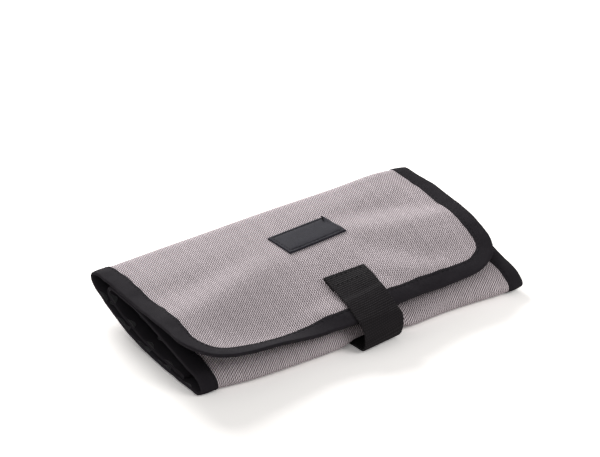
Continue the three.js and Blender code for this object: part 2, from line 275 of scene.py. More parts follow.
def slab(name, face, back, lengths, material, crease=40):
    """A closed layer between two grids of points, each rows by columns by 3, joined round their rims."""
    rows, columns = face.shape[:2]
    count = rows * columns
    near = np.arange(count).reshape(rows, columns)
    rim = np.concatenate([near[0, :-1], near[:-1, -1], near[-1, :0:-1], near[:0:-1, 0]])
    ahead = np.roll(rim, -1)
    walls = np.stack([ahead, rim, rim + count, ahead + count], -1)
    quads = np.concatenate([grid_quads(rows, columns), grid_quads(rows, columns, count)[:, ::-1], walls])
    points = np.concatenate([face.reshape(-1, 3), back.reshape(-1, 3)])
    flat = lengths.reshape(-1, 2)
    return make_piece(name, points, quads, np.concatenate([flat, flat]), material, crease)


def run_lengths(points):
    """How far each point of a grid lies along its column, measured from the first row."""
    steps = np.linalg.norm(np.diff(points, axis=0), axis=2)
    return np.concatenate([np.zeros((1, points.shape[1])), np.cumsum(steps, 0)])


# %% [markdown]
# ## Materials
# The outer cloth is a coarse weave in two yarns: pale floats along the strip over dark yarn, each column
# a third of a step further on. From near it is a field of small dots and from far a mauve grey. It could
# be painted with a noise, but only a regular pattern gives the slanting lines that the photograph shows.
# The lining, tape, webbing and elastic are black, and differ in their ribs and in how much they shine.
# Their colour, like that of the thread and the leather, is painted darker in the low places of their ribs,
# weave, creases and grain and lighter on the raised ones: painted shade and painted highlight.

# %% Node helpers
class Nodes:
    """A material's node tree, with short ways to add the nodes that the finishes below share."""

    def __init__(self, name):
        self.material = bpy.data.materials.new(name)
        self.material.use_nodes = True
        self.tree = self.material.node_tree
        self.tree.nodes.clear()
        self.shader = self.tree.nodes.new("ShaderNodeBsdfPrincipled")
        surface = self.tree.nodes.new("ShaderNodeOutputMaterial")
        self.tree.links.new(self.shader.outputs[0], surface.inputs["Surface"])

    def put(self, value, socket):
        """Links an output to a socket, or sets the socket to a plain value."""
        if isinstance(value, bpy.types.NodeSocket):
            self.tree.links.new(value, socket)
        else:
            socket.default_value = value

    def maths(self, operation, *values):
        """A Math node with its inputs."""
        node = self.tree.nodes.new("ShaderNodeMath")
        node.operation = operation
        for value, socket in zip(values, node.inputs):
            self.put(value, socket)
        return node.outputs[0]

    def mix(self, share, a, b, kind="FLOAT"):
        """Number a where share is 0 and b where it is 1, or the same for colours (kind RGBA)."""
        node = self.tree.nodes.new("ShaderNodeMix")
        node.data_type = kind
        for value, socket in ((share, "Factor"), (a, "A"), (b, "B")):
            self.put(value, node.inputs[socket])
        return node.outputs["Result"]

    def shade(self, tint, share, least, most):
        """A colour made darker or lighter by a number: times least where share is 0, most at 1."""
        node = self.tree.nodes.new("ShaderNodeVectorMath")
        node.operation = "SCALE"
        self.put(tint if isinstance(tint, bpy.types.NodeSocket) else tint[:3], node.inputs[0])
        self.put(self.mix(share, least, most), node.inputs["Scale"])
        return node.outputs["Vector"]

    def wave(self, operation, turns):
        """A sine or cosine wave of so many turns, as a number from 0 to 1."""
        swing = self.maths(operation, self.maths("MULTIPLY", turns, 2 * math.pi))
        return self.maths("MULTIPLY_ADD", swing, 0.5, 0.5)

    def on_object(self):
        """The place in the object's own coordinates."""
        return self.tree.nodes.new("ShaderNodeTexCoord").outputs["Object"]

    def on_sheet(self):
        """The place on the sheet as it lies flat."""
        place = self.tree.nodes.new("ShaderNodeUVMap")
        place.uv_map = "cloth"
        return place.outputs[0]

    def counted(self, across_pitch, along_pitch):
        """The place on the sheet, counted in pitches of so many millimetres across and along it."""
        apart = self.tree.nodes.new("ShaderNodeSeparateXYZ")
        self.put(self.on_sheet(), apart.inputs[0])
        across = self.maths("DIVIDE", apart.outputs["X"], across_pitch * MM)
        return across, self.maths("DIVIDE", apart.outputs["Y"], along_pitch * MM)

    def noise(self, size, stretch=(1, 1, 1), detail=3.0, flat=False):
        """Smooth noise whose lumps are about size millimetres, on the object or on the sheet."""
        scale = add_node(self.tree, "ShaderNodeMapping", Scale=[s / (size * MM) for s in stretch])
        self.put(self.on_sheet() if flat else self.on_object(), scale.inputs["Vector"])
        node = add_node(self.tree, "ShaderNodeTexNoise", Scale=1.0, Detail=detail)
        self.put(scale.outputs[0], node.inputs["Vector"])
        return node.outputs["Fac"]

    def chance(self, number, seed):
        """A fixed random number from 0 to 1 for each whole number."""
        node = self.tree.nodes.new("ShaderNodeTexWhiteNoise")
        node.noise_dimensions = "1D"
        self.put(self.maths("ADD", number, seed), node.inputs["W"])
        return node.outputs["Value"]

    def bump(self, height, depth):
        """Raises the surface by height times depth millimetres in the light."""
        node = add_node(self.tree, "ShaderNodeBump", Distance=depth * MM)
        self.put(height, node.inputs["Height"])
        self.put(node.outputs[0], self.shader.inputs["Normal"])

    def set(self, **values):
        """Sets sockets of the shader, written with _ for a space."""
        for name, value in values.items():
            self.put(value, self.shader.inputs[name.replace("_", " ")])
        return self.material


def colour(red, green, blue):
    """A colour as a screen shows it, from 0 to 255, turned into light: ((c + 0.055) / 1.055) to the
    power 2.4."""
    shown = (np.array([red, green, blue]) / 255 + 0.055) / 1.055
    return (*(shown**2.4).tolist(), 1.0)


# %% Outer cloth
pale_yarn, dark_yarn = colour(250, 238, 242), colour(84, 68, 71)
column_step, float_step = 1.222, 1.834  # between columns, and between floats in a column


def floats_in_columns(nodes):
    """Floats of the yarn that runs along the sheet: hills in columns, where each column is shifted by
    a third of a float's step. One cosine makes the columns and a second one, slanting across them,
    parts each column into floats. Returns the height and the column number."""
    x, y = nodes.counted(1.0, 1.0)
    columns = nodes.maths("COSINE", nodes.maths("MULTIPLY", x, 2 * math.pi / column_step))
    slant = nodes.maths("ADD", nodes.maths("MULTIPLY", x, 2 / (3 * column_step)),
                        nodes.maths("DIVIDE", y, -float_step))
    parted = nodes.maths("COSINE", nodes.maths("MULTIPLY", slant, 2 * math.pi))
    hills = nodes.maths("MULTIPLY_ADD", columns, 0.29, nodes.maths("MULTIPLY_ADD", parted, 0.21, 0.5))
    return hills, nodes.maths("ROUND", nodes.maths("DIVIDE", x, column_step))


def outer_cloth_finish():
    """Two-tone weave: pale floats along the strip over dark yarn, each column a little different."""
    nodes = Nodes("outer_cloth")
    height, column = floats_in_columns(nodes)
    clear = nodes.maths("MULTIPLY_ADD", height, 1.25, -0.125)
    yarn = nodes.mix(clear, dark_yarn, pale_yarn, kind="RGBA")
    yarn = nodes.shade(yarn, nodes.chance(column, seed=0.37), least=0.95, most=1.05)
    yarn = nodes.shade(yarn, nodes.noise(1.1, detail=3, flat=True), least=0.72, most=1.28)
    nodes.bump(height, depth=0.5)
    return nodes.set(Base_Color=yarn, Roughness=0.85, Specular_IOR_Level=0.2,
                     Sheen_Weight=0.1, Sheen_Roughness=0.5, Sheen_Tint=colour(225, 212, 220))


outer_cloth = outer_cloth_finish()
print("the outer cloth has a float every", column_step, "by", float_step, "mm")

# %% Black cloths, leather and thread
rib_pitch, rib_height = 1.6, 0.14  # of the webbing, in millimetres
knuckle_pitch, fibre_size = 1.35, 0.3


def ribbed_finish(name, tint, rib, depth, roughness, sheen, grain=0.35):
    """A dark woven band whose ribs run across it: a sine wave along the band, with a fine grain. Its colour
    is painted darker in the rib hollows and lighter on the rib tops, as painted shade and painted
    highlight.
    """
    nodes = Nodes(name)
    _, y = nodes.counted(1.0, rib)
    height = nodes.mix(grain, nodes.wave("SINE", y), nodes.noise(fibre_size, detail=2))
    # painted shade in the rib hollows and painted highlight on the rib tops, from the bump's height
    tinted = nodes.shade(colour(*tint), height, least=0.75, most=1.25)
    tinted = nodes.shade(tinted, nodes.noise(9.0, detail=4), least=0.8, most=1.2)
    nodes.bump(height, depth)
    return nodes.set(Base_Color=tinted, Roughness=roughness, Specular_IOR_Level=0.05,
                     Sheen_Weight=sheen, Sheen_Roughness=0.4)


def webbing_finish():
    """Black webbing: thick ribs across it, each parted into knuckles that sit half a step aside in the
    next rib. The ribs' height is in the mesh, so only the knuckles and the fibres are raised here. Its
    colour is painted darker between the knuckles and lighter on their tops: painted shade and highlight."""
    nodes = Nodes("webbing")
    x, y = nodes.counted(knuckle_pitch, rib_pitch)
    knuckles = nodes.wave("SINE", nodes.maths("MULTIPLY_ADD", nodes.maths("ROUND", y), 0.5, x))
    ribs = nodes.wave("COSINE", y)
    height = nodes.mix(0.3, nodes.maths("MULTIPLY", knuckles, ribs), nodes.noise(fibre_size, detail=2))
    # painted shade between the knuckles and painted highlight on their tops, from the bump's height
    tint = nodes.shade(colour(40, 37, 39), height, least=0.5, most=1.7)
    nodes.bump(height, depth=0.14)
    return nodes.set(Base_Color=tint, Roughness=0.85, Specular_IOR_Level=0.12,
                     Sheen_Weight=0.03, Sheen_Roughness=0.4)


def plain_weave(nodes, pitch):
    """The height of a plain weave: the thread along the sheet lies on top where the sum of the two
    thread numbers is even, and the one across it elsewhere. A thread's height is its round back times
    how far it bulges out between its neighbours."""
    x, y = nodes.counted(pitch, pitch)
    number = nodes.maths("ADD", nodes.maths("FLOOR", x), nodes.maths("FLOOR", y))
    round_x, round_y = (nodes.maths("SINE", nodes.maths("MULTIPLY", nodes.maths("FRACT", place), math.pi))
                        for place in (x, y))
    lift = [nodes.maths("MULTIPLY", nodes.maths("POWER", back, 0.7),
                        nodes.maths("MULTIPLY_ADD", bulge, 0.6, 0.4))
            for back, bulge in ((round_x, round_y), (round_y, round_x))]
    return nodes.mix(nodes.maths("FLOORED_MODULO", number, 2.0), *lift)


def lining_finish():
    """Thin black weave with a slight shine and small creases. Its colour is painted darker between the
    threads and in the creases' hollows, and lighter on their tops: painted shade and painted highlight.
    """
    nodes = Nodes("lining_cloth")
    height = plain_weave(nodes, 0.4)
    creases = nodes.noise(7.0, stretch=(1, 2.2, 1), detail=4)
    nodes.bump(nodes.mix(0.65, height, creases), depth=0.7)
    # painted shade between the threads and painted highlight on their backs
    tint = nodes.shade(colour(38, 37, 41), height, least=0.7, most=1.2)
    # painted shade in the creases' hollows and painted highlight on their rises
    tint = nodes.shade(tint, creases, least=0.6, most=1.6)
    return nodes.set(Base_Color=tint, Roughness=0.55, Specular_IOR_Level=0.35,
                     Sheen_Weight=0.15, Sheen_Roughness=0.5)


def leather_finish():
    """Smooth dark leather with a fine pebbled grain, whose colour is painted darker where the grain lies
    low and lighter where it is raised: painted shade and painted highlight.
    """
    nodes = Nodes("label_leather")
    pebble_size = 0.45
    cells = add_node(nodes.tree, "ShaderNodeTexVoronoi", Scale=1 / (pebble_size * MM))
    nodes.put(nodes.on_object(), cells.inputs["Vector"])
    height = nodes.mix(0.4, cells.outputs["Distance"], nodes.noise(0.8, detail=3))
    nodes.bump(height, depth=0.12)
    # painted shade where the grain lies low and painted highlight where it is raised, from the bump's
    # height
    tint = nodes.shade(colour(47, 46, 53), height, least=0.55, most=1.45)
    tint = nodes.shade(tint, nodes.noise(6.0, detail=4), least=0.75, most=1.25)
    return nodes.set(Base_Color=tint, Roughness=0.65, Specular_IOR_Level=0.1)


def thread_finish():
    """Black polyester thread: a fine twist round each stitch, with its colour painted darker in the twist's
    hollows and lighter on its ridges: painted shade and painted highlight.
    """
    nodes = Nodes("black_thread")
    twist = nodes.noise(0.25, detail=2)
    # painted shade in the twist's hollows and painted highlight on its ridges, from the bump's height
    tint = nodes.shade(colour(22, 21, 23), twist, least=0.7, most=1.3)
    nodes.bump(twist, depth=0.05)
    return nodes.set(Base_Color=tint, Roughness=0.65, Specular_IOR_Level=0.2)


lining_cloth = lining_finish()
edge_tape = ribbed_finish("edge_tape", (43, 40, 44), rib=0.6, depth=0.08, roughness=0.85, sheen=0.02)
webbing_cloth = webbing_finish()
fastener_pile = ribbed_finish("fastener_pile", (30, 30, 31), rib=1.1, depth=0.2, roughness=0.9, sheen=0.2,
                              grain=0.8)
elastic_knit = ribbed_finish("elastic_knit", (33, 33, 36), rib=1.0, depth=0.1, roughness=0.8, sheen=0.1)
label_leather = leather_finish()
black_thread = thread_finish()
print(len(bpy.data.materials), "materials")

# %% [markdown]
# ## The folded strip
# A sewn strip keeps its length, so its shape is a profile: where its outer face runs in Y and Z as one
# goes along it. Panels are gentle height curves, and each fold is a cubic curve whose handles run on
# along the two panels, which makes the cloth turn as softly as the real one. The numbers are the
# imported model's own. The alternative, bending a flat grid with modifiers, would lose the lengths.

# %% Panel heights
shell_cloth, lining_cloth_depth, cloth_gap = 0.7, 0.4, 0.1
panel_gap = 0.3  # between the edge tapes of two panels
plies = shell_cloth + cloth_gap + lining_cloth_depth
panel_pitch = plies + 2 * tape_over + panel_gap
back_nose, inner_nose = 122.0, 105.0
bottom_back, front_bottom, front_top = 113.0, 5.0, 14.0
middle_back, inner_back, inner_front = 98.0, 97.0, 20.0
strap_x = 6.0  # where the strap's fastener lies under the roll
print("each panel lies", round(panel_pitch, 2), "mm over the one below it")


def spline_shares(knots, t):
    """How much each knot counts at each place t in a natural cubic spline, one row for each place.
    The second slopes at the knots solve the usual three-term equations, with none at the two ends."""
    knots = np.asarray(knots, float)
    n, gap = len(knots), np.diff(knots)
    left_side, right_side = np.eye(n), np.zeros((n, n))
    for k in range(1, n - 1):
        left_side[k, k - 1:k + 2] = gap[k - 1] / 6, (gap[k - 1] + gap[k]) / 3, gap[k] / 6
        right_side[k, k - 1:k + 2] = 1 / gap[k - 1], -1 / gap[k - 1] - 1 / gap[k], 1 / gap[k]
    second = np.linalg.solve(left_side, right_side)
    t = np.clip(t, knots[0], knots[-1])
    k = np.clip(np.searchsorted(knots, t) - 1, 0, n - 2)
    h = gap[k]
    a, b = (knots[k + 1] - t) / h, (t - knots[k]) / h
    unit = np.eye(n)
    return (a[:, None] * unit[k] + b[:, None] * unit[k + 1]
            + ((a**3 - a) * h**2 / 6)[:, None] * second[k]
            + ((b**3 - b) * h**2 / 6)[:, None] * second[k + 1])


def batten(x, knots, values):
    """A curve through a few chosen values, as a thin batten would bend through them."""
    return (spline_shares(knots, np.ravel(x)) @ values).reshape(np.shape(x))


def bottom_height(x, y):
    """Outer face of the bottom panel: flat on the table, then rising towards the back fold as the
    2.2nd power, lifted by a smooth step where the strap's fastener lies under it, and curling up a
    little at the right front corner. The full edge tape raises both ends by half a millimetre."""
    rise = 14.0 * np.clip((y - 40) / 75, 0, None) ** 2.2
    beside = np.where(x < strap_x, ramp(strap_x - x, 12, over=10), ramp(x - strap_x, 14.5, over=11))
    lift = 2.95 * (1 - beside) * (1 - ramp(y, 66, over=22))
    curl = ramp(x, 96, over=14) * (1 - ramp(y, 4, over=36))
    return tape_over + rise + lift + curl + 0.45 * ramp(np.abs(x), 90, over=8)


def middle_height(x, y):
    """Outer face of the middle panel: a smooth climb from the front fold to the inner fold, lower at
    the left end and higher near the right end, and dipping towards the front fold."""
    front = batten(x, [-109, -98, -60, 0, 60, 98, 109], [-1.2, -0.9, 0, 0.3, 1.0, 1.8, 0.2])
    climb = 12.8 + 9.0 * ramp(y, 10, over=75)
    return climb + front * (1 - ramp(y, 10, over=60)) - 1.4 * (1 - ramp(y, 8, over=22))


def inner_height(x, y):
    """Outer face of the inner panel, which lies on the bottom one."""
    return bottom_height(x, y) + panel_pitch


def cubic(t, a, b, c, d):
    """A cubic curve from a to d at share t, with b and c as its handles."""
    return a * (1 - t) ** 3 + 3 * b * t * (1 - t) ** 2 + 3 * c * t**2 * (1 - t) + d * t**3


def fold(t, start, start_slope, end, end_slope, nose):
    """The Y and Z of a fold at the back, at share t. A cubic with equal handles reaches 3/4 of a
    handle past its ends, so the handles are 4/3 of the way to the nose."""
    handle = abs(nose - (start[0] + end[0]) / 2) / 0.75
    reach = [handle / np.hypot(1, slope) for slope in (start_slope, end_slope)]
    y = cubic(t, start[0], start[0] + reach[0], end[0] + reach[1], end[0])
    z = cubic(t, start[1], start[1] + reach[0] * start_slope, end[1] + reach[1] * end_slope, end[1])
    return y, z


def slope_along(height, x, y):
    """How steeply a panel rises towards the back: its height half a millimetre behind a place, less
    its height half a millimetre before it."""
    return height(x, y + 0.5) - height(x, y - 0.5)


def panel_end(height, x, y):
    """A panel's end as ((y, z), slope), for a fold to start or end there."""
    return (y, height(x, y)), slope_along(height, x, y)


# %% The strip's profile
askew = -2.2  # how far the bottom panel lies to the left of the middle one, because the fold is askew
front_fold_run, inner_fold_run = 34, 26  # about how long the two folds are


def front_reach(x):
    """How far forward the handles of the front fold reach: it is full, except at the ends and where
    the strap holds it in."""
    return batten(x, [-109, -98, -80, -60, -38, -14, 2, 14, 26, 45, 66, 84, 98, 109],
                  [0.6, 0.4, -3.6, -5.0, -4.6, -2.6, 0.6, 0.2, -4.2, -3.4, -2.2, -3.8, -3.8, -1.8])


def front_fold(t, x):
    """The Y and Z of the front fold: a cubic whose two handles reach equally far forward, but for the
    right end, where the lower one reaches further and the nose is lower."""
    (y0, z0), slope0 = panel_end(bottom_height, x, front_bottom)
    (y3, z3), slope3 = panel_end(middle_height, x, front_top)
    reach = front_reach(x)
    low_reach = reach - 1.9 * ramp(x, 82, over=26)
    y = cubic(t, y0, low_reach, reach, y3)
    return y, cubic(t, z0, z0 + slope0 * (low_reach - y0), z3 + slope3 * (reach - y3), z3)


def inner_shift(y):
    """How far the inner panel lies to the left: half of askew once it is 60 mm from its fold."""
    return askew / 2 * ramp(inner_back - y, over=60)


def body_profile(x, step=1.5):
    """Shift in X, Y and Z of the outer face from the back of the bottom panel to the inner panel's
    free end, as rows of points about step millimetres apart, one column for each x."""
    x = np.atleast_1d(x)[None, :]

    def shares(length, last=False):
        return np.linspace(0, 1, int(round(length / step)), endpoint=last)[:, None]

    def panel(height, start, end, last=False):
        y = start + (end - start) * shares(abs(end - start), last)
        return y, height(x, y)

    inner_fold = fold(shares(inner_fold_run), *panel_end(middle_height, x, middle_back),
                      *panel_end(inner_height, x, inner_back), inner_nose)
    inner = panel(inner_height, inner_back, inner_front, last=True)
    bottom = panel(bottom_height, bottom_back, front_bottom)
    bulge = -0.8 * ramp(bottom[0], 10, over=15) * (1 - ramp(bottom[0], 80, over=28))
    front_shares = shares(front_fold_run)
    stretches = [
        (askew + bulge, *bottom),
        (askew * (1 - ramp(front_shares, over=0.25)), *front_fold(front_shares, x)),
        (0, *panel(middle_height, front_top, middle_back)),
        (0, *inner_fold),
        (inner_shift(inner[0]), *inner),
    ]
    return np.moveaxis(np.concatenate([stacked(*stretch) for stretch in stretches]), -1, 0)


def body_points(x, out):
    """Points of the strip out millimetres outside its outer face: moved square to its run."""
    shift, y, z = body_profile(x)
    run_y, run_z = np.gradient(y, axis=0), np.gradient(z, axis=0)
    size = np.hypot(run_y, run_z)
    return stacked(x + shift, y - out * run_z / size, z + out * run_y / size)


_, middle_y, _ = body_profile(0.0)
print("the profile has", middle_y.size, "points, up to", round(float(middle_y.max()), 1), "mm back")

# %% [markdown]
# ## The outer cloth and the lining of the body
# Two thin layers, each a slab of its real thickness: the woven cloth outside, the black lining inside
# it. Simulated cloth would sag through the layers below, and this stiff cloth hardly drapes, so the
# shape is worked out from the profile instead.

# %% Body cloth
column_count = 146
cloth_columns = np.linspace(-half_length + tape_over, half_length - tape_over, column_count)


def rumple(x, run):
    """How far thin lining stands off, from 0 to 1: two pairs of crossing sine waves, 15 to 40 mm long."""
    first = np.sin(2 * math.pi * (x / 17 + run / 38)) * np.sin(2 * math.pi * (run / 15 - x / 33) + 1.0)
    second = np.sin(2 * math.pi * (x / 40 - run / 22) + 2.0)
    return 0.5 + 0.3 * first + 0.2 * second


def body_layer(name, outer, inner, material, loose=0.0):
    """A layer of the strip between two distances from its outer face, which stands off up to loose
    millimetres inwards."""
    run = run_lengths(body_points(cloth_columns, 0))
    inwards = loose * rumple(cloth_columns, run)
    face, back = body_points(cloth_columns, outer - inwards), body_points(cloth_columns, inner - inwards)
    lengths = stacked(cloth_columns, run_lengths(face))
    print(name, "is", round(float(lengths[-1, :, 1].mean()), 1), "mm long")
    return slab(name, face, back, lengths, material)


body_cloth = body_layer("body_cloth", 0, -shell_cloth, outer_cloth)
body_lining = body_layer("body_lining", -shell_cloth - cloth_gap, -plies, lining_cloth, loose=0.9)
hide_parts("bottom_shell", "front_fold_shell", "middle_shell", "inner_fold_shell",
            "inner_shell")
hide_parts("bottom_lining", "front_fold_lining", "middle_lining", "inner_fold_lining",
            "inner_lining")
for piece, slot in ((body_cloth, "outer_fabric"), (body_lining, "lining_fabric")):
    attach(piece, "roll")

# %% [markdown]
# ## The flap
# The flap is the part one sees most. It is stiff cloth held only at its back fold and by the strap, so
# its free corners lift on the left and droop on the right, and the strap pulls its edge down and
# forward. A lofted height map is the natural tool: a few heights are given on lines across the
# flap, and a natural cubic spline runs through them in both directions, as a bent batten would.

# %% Flap heights
flap_back, flap_length = 112.0, 110.0
flap_skew = math.radians(2.5)
across_knots = np.array([-109.0, -85, -60, -32, 0, 30, 60, 88, 109])
along_knots = np.array([0.0, 25, 52, 78, 99, 110])
flap_heights = np.array([
    [23.6, 25.0, 26.0, 26.9, 28.0, 28.7, 29.2, 29.8, 26.9],
    [24.2, 25.9, 26.6, 27.2, 27.8, 28.6, 28.6, 28.4, 26.8],
    [25.0, 25.8, 26.0, 26.0, 27.3, 28.5, 28.5, 28.8, 27.2],
    [27.4, 26.4, 22.8, 21.4, 23.4, 26.0, 25.8, 26.4, 24.8],
    [28.4, 21.7, 17.0, 15.6, 20.0, 23.7, 20.8, 20.8, 20.0],
    [28.4, 23.6, 19.4, 16.6, 17.6, 19.9, 18.0, 18.8, 19.0],
])

soft_folds = [  # a width, and then the places (a, b) along the fold with its height there
    (10, [(-98, 36, -0.8), (-77, 37, -1.3), (-56, 35, -1.1), (-40, 31, -0.8), (-20, 26, -0.3)]),
    (10, [(-97, 62, 0.9), (-76, 59, 1.2), (-58, 54, 1.2), (-35, 48, 1.1), (-12, 46, 0.4)]),
    (9, [(42, 26, -0.7), (58, 28, -1.4), (76, 32, -1.6), (90, 41, -1.1)]),
    (9, [(32, 38, 0.6), (57, 50, 1.4), (70, 54, 1.6), (88, 57, 1.2), (98, 60, 0.6)]),
    (9, [(40, 62, -1.0), (54, 73, -1.6), (68, 83, -1.4), (86, 85, -0.7)]),
    (13, [(-94, 82, -1.6), (-84, 80, -2.6), (-62, 79, -2.0), (-36, 73, -1.5), (-22, 68, -0.7)]),
    (9, [(0, 10, 0.2), (25, 11, 0.5), (60, 12, 0.6), (88, 12, 0.4)]),
    (7, [(33, 80, 0.5), (47, 91, 0.9), (62, 96, 1.1), (76, 99, 0.6)]),
    (5, [(28, 88, -0.4), (36, 95, -0.6), (42, 103, -0.4)]),
    (8, [(-30, 95, 0.9), (-19, 96, 2.3), (-8, 97, 1.8), (0, 98, 0.8)]),
    (7, [(-62, 110, 0.8), (-50, 111, 1.3), (-40, 111, 0.7)]),
]


def along_fold(a, b, width, places):
    """A soft fold: each point takes the height of the nearest place on the fold's line, times e to
    the power minus the square of its distance over the width."""
    nearest, height = np.full(a.shape, np.inf), np.zeros(a.shape)
    for (a0, b0, h0), (a1, b1, h1) in zip(places[:-1], places[1:]):
        share = ((a - a0) * (a1 - a0) + (b - b0) * (b1 - b0)) / ((a1 - a0) ** 2 + (b1 - b0) ** 2)
        share = np.clip(share, 0, 1)
        distance = np.hypot(a - a0 - share * (a1 - a0), b - b0 - share * (b1 - b0))
        height = np.where(distance < nearest, h0 + share * (h1 - h0), height)
        nearest = np.minimum(nearest, distance)
    return height * bell(nearest / width)


def flap_height(a, b):
    """Height of the flap's outer face at a across and b from its fold: the loft and the soft folds."""
    a, b = spread(a, b)
    across, along = spline_shares(across_knots, a.ravel()), spline_shares(along_knots, b.ravel())
    loft = np.einsum("nk,kl,nl->n", along, flap_heights, across).reshape(a.shape)
    return loft + sum(along_fold(a, b, width, places) for width, places in soft_folds)


print("the flap's middle lies", round(float(flap_height(0, flap_length / 2)), 1), "mm above the table")

# %% Flap and back fold as one sheet
strap_pull = 4.5  # how far the strap draws the flap's edge forward
strap_across = 10.8  # where the strap crosses it


def corner_tuck(a, b):
    """How far the right back corner is drawn in to the left."""
    return 2.4 * ramp(a, 66, over=43) * (1 - ramp(b, over=23))


def on_flap(a, b):
    """The flap's outer face: turned a little askew, and drawn forward near the strap."""
    turn = math.tan(flap_skew) * b / flap_length
    pull = strap_pull * bell((a - strap_across) / 32) * ramp(b, 70, over=40)
    x = a - turn * b - corner_tuck(a, b)
    return stacked(x, flap_back - b + turn * a - pull, flap_height(a, b))


def on_back_fold(a, t):
    """The fold behind the flap, from the flap's end at share 0 down to the bottom panel at 1."""
    top = flap_height(a, 0)
    slope = (top - flap_height(a, 0.5)) / 0.5
    y, z = fold(t, (flap_back, top), slope, *panel_end(bottom_height, a, bottom_back), back_nose)
    return stacked(a + askew * ramp(t) - corner_tuck(a, 0) * (1 - ramp(t)), y, z)


fold_shares = np.linspace(0, 1, 60)
fold_run = run_lengths(on_back_fold(0.0, fold_shares)[:, None])[:, 0]
fold_length = float(fold_run[-1])
print("the back fold is", round(fold_length, 1), "mm round")


def flap_face(a, b):
    """The outer face of the sheet that is the flap where b is above 0 and the back fold below."""
    a, b = spread(a, b)
    shares = np.interp(-b, fold_run, fold_shares)
    return np.where((b >= 0)[..., None], on_flap(a, np.maximum(b, 0)), on_back_fold(a, shares))


def flap_points(a, b, out):
    """Points out millimetres outside the flap's outer face, along its normal: the cross product of
    its slopes across and along, taken aside millimetres either way."""
    a, b, out = spread(a, b, out)
    aside = 0.4
    low, high = np.maximum(b - aside, -fold_length), np.minimum(b + aside, flap_length)
    across = flap_face(a + aside, b) - flap_face(a - aside, b)
    normal = np.cross(flap_face(a, high) - flap_face(a, low), across)
    normal /= np.linalg.norm(normal, axis=-1, keepdims=True)
    return flap_face(a, b) + out[..., None] * normal


# %% Flap cloth
corner_radius = 28.0
corner_start = flap_length - corner_radius


def rows_along(step):
    """Places b along the flap's straight sides: half a millimetre apart round the back fold, because
    it turns over on itself when the flap opens, and step millimetres apart on the flap."""
    return np.concatenate([np.arange(-fold_length, 0, 0.5), np.arange(0, corner_start, step)])


def flap_width(b, inset):
    """Half the flap's width at b from its fold, inset millimetres inside its outline: full width, then
    a quarter circle at each corner."""
    radius = corner_radius - inset
    into = np.clip(b - corner_start, 0, radius)
    return half_length - inset - radius + np.sqrt(radius**2 - into**2)


def flap_layer(name, outer, inner, material):
    """A layer of the flap and back fold between two distances from its outer face."""
    turn = np.linspace(0, math.pi / 2, 30)
    corner = corner_start + (corner_radius - tape_over) * np.sin(turn)
    b = np.concatenate([rows_along(step=1.5), corner])[:, None]
    a = np.linspace(-1, 1, column_count)[None, :] * flap_width(b, tape_over)
    print(name, "is", round(float(np.ptp(a)), 1), "by", round(float(np.ptp(b)), 1), "mm")
    return slab(name, flap_points(a, b, outer), flap_points(a, b, inner), stacked(a, -b), material)


flap_cloth = flap_layer("flap_cloth", 0, -shell_cloth, outer_cloth)
flap_lining = flap_layer("flap_lining_cloth", -shell_cloth - cloth_gap, -plies, lining_cloth)
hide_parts("flap_shell", "back_fold_shell")
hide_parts("flap_lining", "back_fold_lining")

# %% [markdown]
# ### The flap's pieces
# The flap swings on the back fold. Here its pieces only have their place in the frame baked into their
# meshes.


def opens_with_flap(piece):
    """Bakes a piece's place in the frame into its mesh."""
    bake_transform(piece)


opens_with_flap(flap_cloth)
opens_with_flap(flap_lining)

# %% [markdown]
# ## Edge tape
# The raw edges are wrapped in black tape, which is folded over the edge, covers 11 mm of each face and is
# stitched through. Its section is a long U with a round back. Between the stitches and the edge the
# tape is slightly full, which is what catches the light. The same section is carried along the
# strip's two sides, round the flap, and along the inner panel's end.

# %% Tape section
tape_width, tape = 11.0, 0.4
stitch_inset, stitch_press = 9.2, 0.1
tape_full = 0.28  # how far the tape swells between the stitches and the edge
rim_drop = 0.25  # how far its sewn rim is drawn down to the cloth
round_middle = -plies / 2


def tape_section(surface):
    """Insets from the edge and distances out of the cloth's outer face along the U, for its outer
    surface (1) or the one against the cloth (0), and how full it is from -1 to 1."""
    radius = plies / 2 + (tape_over if surface else tape_over - tape)
    start = plies / 2 + tape_over
    flat = np.concatenate([np.linspace(tape_width, tape_width - 0.5, 3)[:-1],
                           np.linspace(tape_width - 0.5, start, 15)])
    swell = np.sin(math.pi * np.clip((stitch_inset - flat) / (stitch_inset - start), 0, 1)) ** 0.8
    rim = -rim_drop * np.clip(1 - (tape_width - flat) / 0.4, 0, 1) * surface
    press = -stitch_press * bell((flat - stitch_inset) / 0.6)
    lift = radius + tape_full * swell + rim + press
    turn = np.linspace(math.pi / 2, -math.pi / 2, 11)[1:-1]
    inset = np.concatenate([flat, start - radius * np.cos(turn), flat[::-1]])
    out = round_middle + np.concatenate([lift, radius * np.sin(turn), -lift[::-1]])
    return inset, out, np.concatenate([swell, 0 * turn, -swell[::-1]])


outer_inset, outer_out, fullness = tape_section(1)
under_inset, under_out, _ = tape_section(0)
section_run = np.concatenate([[0], np.cumsum(np.hypot(np.diff(outer_inset), np.diff(outer_out)))])
print("the tape is", round(float(section_run[-1]), 1), "mm wide before it is folded")


def waver(run, seed):
    """An uneven line: the sum of five sine waves along run, 9 to 50 mm long, with seeded starts, so
    that it mostly stays between -1 and 1."""
    starts = np.random.default_rng(seed).uniform(0, 2 * math.pi, 5)
    waves = zip((9.0, 13.7, 21.0, 33.0, 50.0), (0.25, 0.35, 0.45, 0.4, 0.4), starts)
    return sum(height * np.sin(2 * math.pi * run / length + start) for length, height, start in waves)


rim_waver, edge_waver, swell_waver = 0.32, 0.15, 0.12  # millimetres either way


